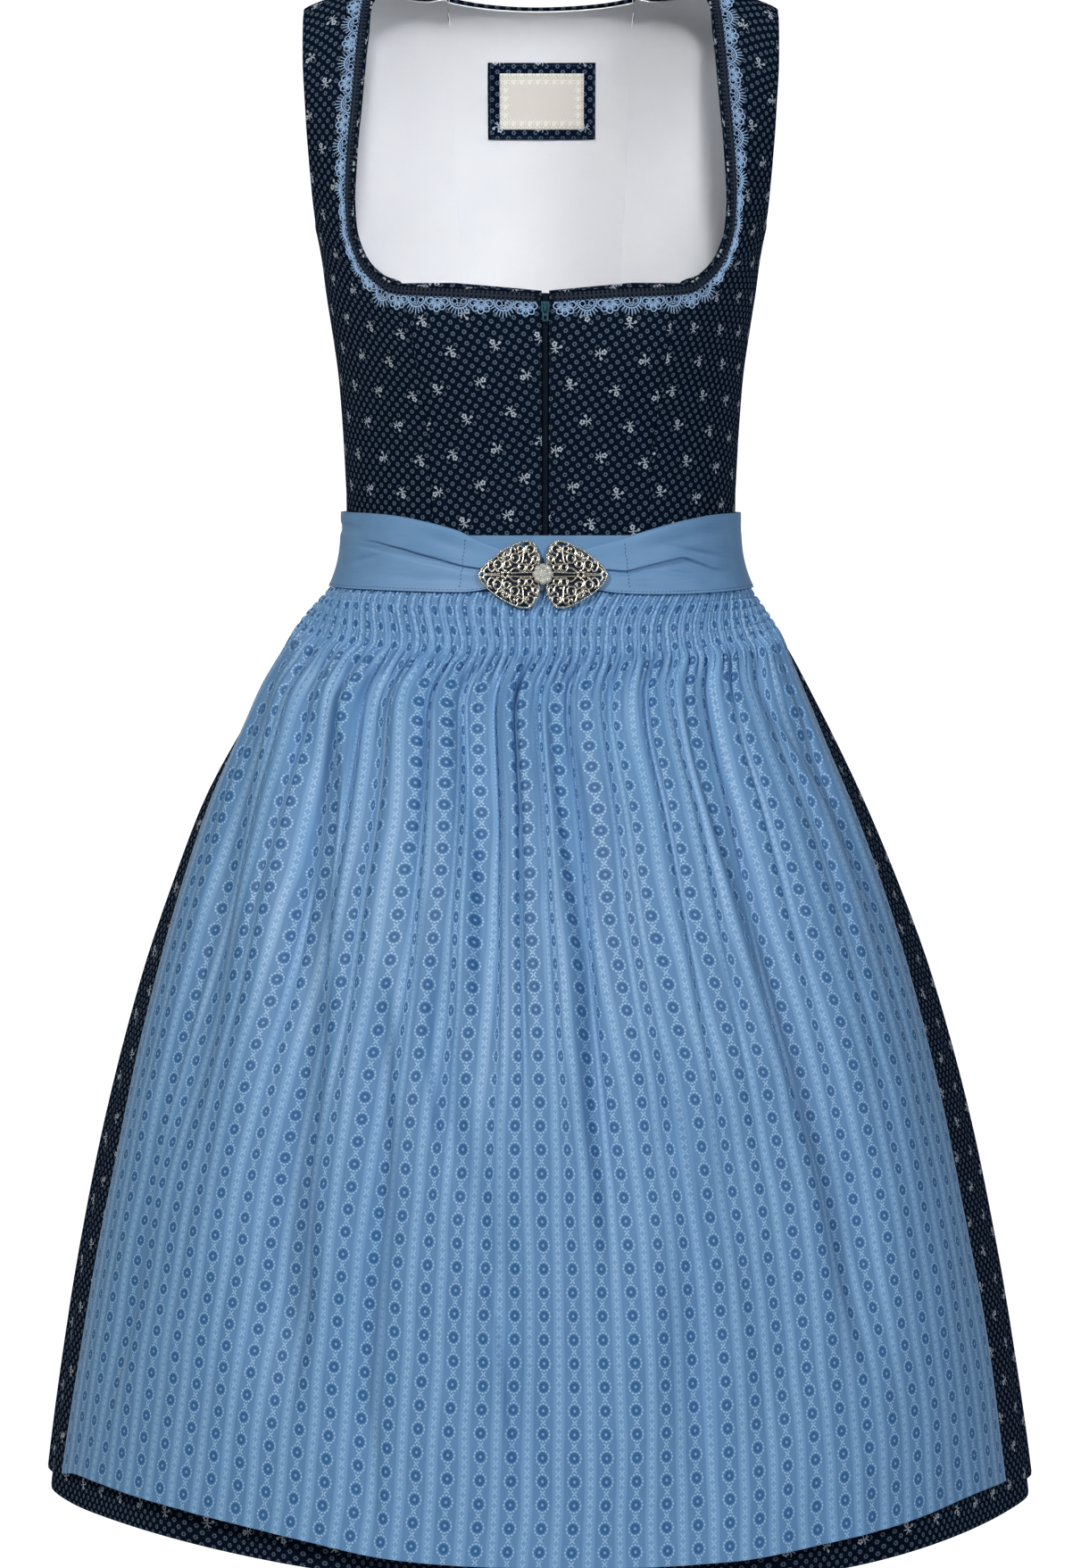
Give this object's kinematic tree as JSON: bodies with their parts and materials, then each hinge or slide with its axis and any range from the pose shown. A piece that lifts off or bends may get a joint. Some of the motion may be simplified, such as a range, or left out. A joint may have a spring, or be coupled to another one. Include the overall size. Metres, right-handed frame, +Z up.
{
  "type": "dirndl dress with apron",
  "caption": "Dirndl as worn: fitted bodice with a square neck and straps, gathered skirt, smocked apron, satin belt and filigree clasp.",
  "frame": {"origin": "midway between the neck ends of the two shoulder seams, where the wearer's shoulders carry the straps", "axes": "+Z up the standing wearer, -Y towards the front, +X towards the wearer's left"},
  "size_m": [0.67, 0.5705, 1.0166],
  "materials": {
    "printed_cotton": "matt navy cotton with a small pale print",
    "lining_cotton": "matt white cotton lining",
    "gimp_braid": "raised dark navy braid",
    "cotton_lace": "light blue scalloped lace",
    "zip_tape": "dark teal woven tape and coil",
    "zip_metal": "dark teal enamel",
    "woven_label": "cream woven label, left plain",
    "apron_jacquard": "light blue striped jacquard with a slight sheen",
    "belt_satin": "blue satin",
    "clasp_metal": "cast metal in antique silver",
    "clasp_glass": "pale pressed glass"
  },
  "bodies": {
    "garment": {"centre_front_left": "printed_cotton", "centre_front_right": "printed_cotton", "side_front_left": "printed_cotton", "side_front_right": "printed_cotton", "side_back_left": "printed_cotton", "side_back_right": "printed_cotton", "centre_back": "printed_cotton", "side_back_lining_left": "lining_cotton", "side_back_lining_right": "lining_cotton", "centre_back_lining": "lining_cotton", "neck_braid_left": "gimp_braid", "neck_braid_right": "gimp_braid", "neck_lace_left": "cotton_lace", "neck_lace_right": "cotton_lace", "zip_strip": "zip_tape", "zip_slider": "zip_metal", "label_patch": "printed_cotton", "label": "woven_label", "skirt_front": "printed_cotton", "skirt_back": "printed_cotton", "apron": "apron_jacquard", "apron_waistband": "belt_satin", "belt_left": "belt_satin", "belt_right": "belt_satin", "clasp_left": "clasp_metal", "clasp_right": "clasp_metal", "clasp_rosette": "clasp_glass"},
    "pull_tab": {"zip_pull_tab": "zip_metal"}
  },
  "joints": [
    {"name": "pull_tab_hinge", "type": "hinge", "parent": "garment", "child": "pull_tab", "pos_m": [0.0029, -0.13013, -0.219], "axis": [-1, 0, 0], "range_deg": [0, 150]}
  ]
}
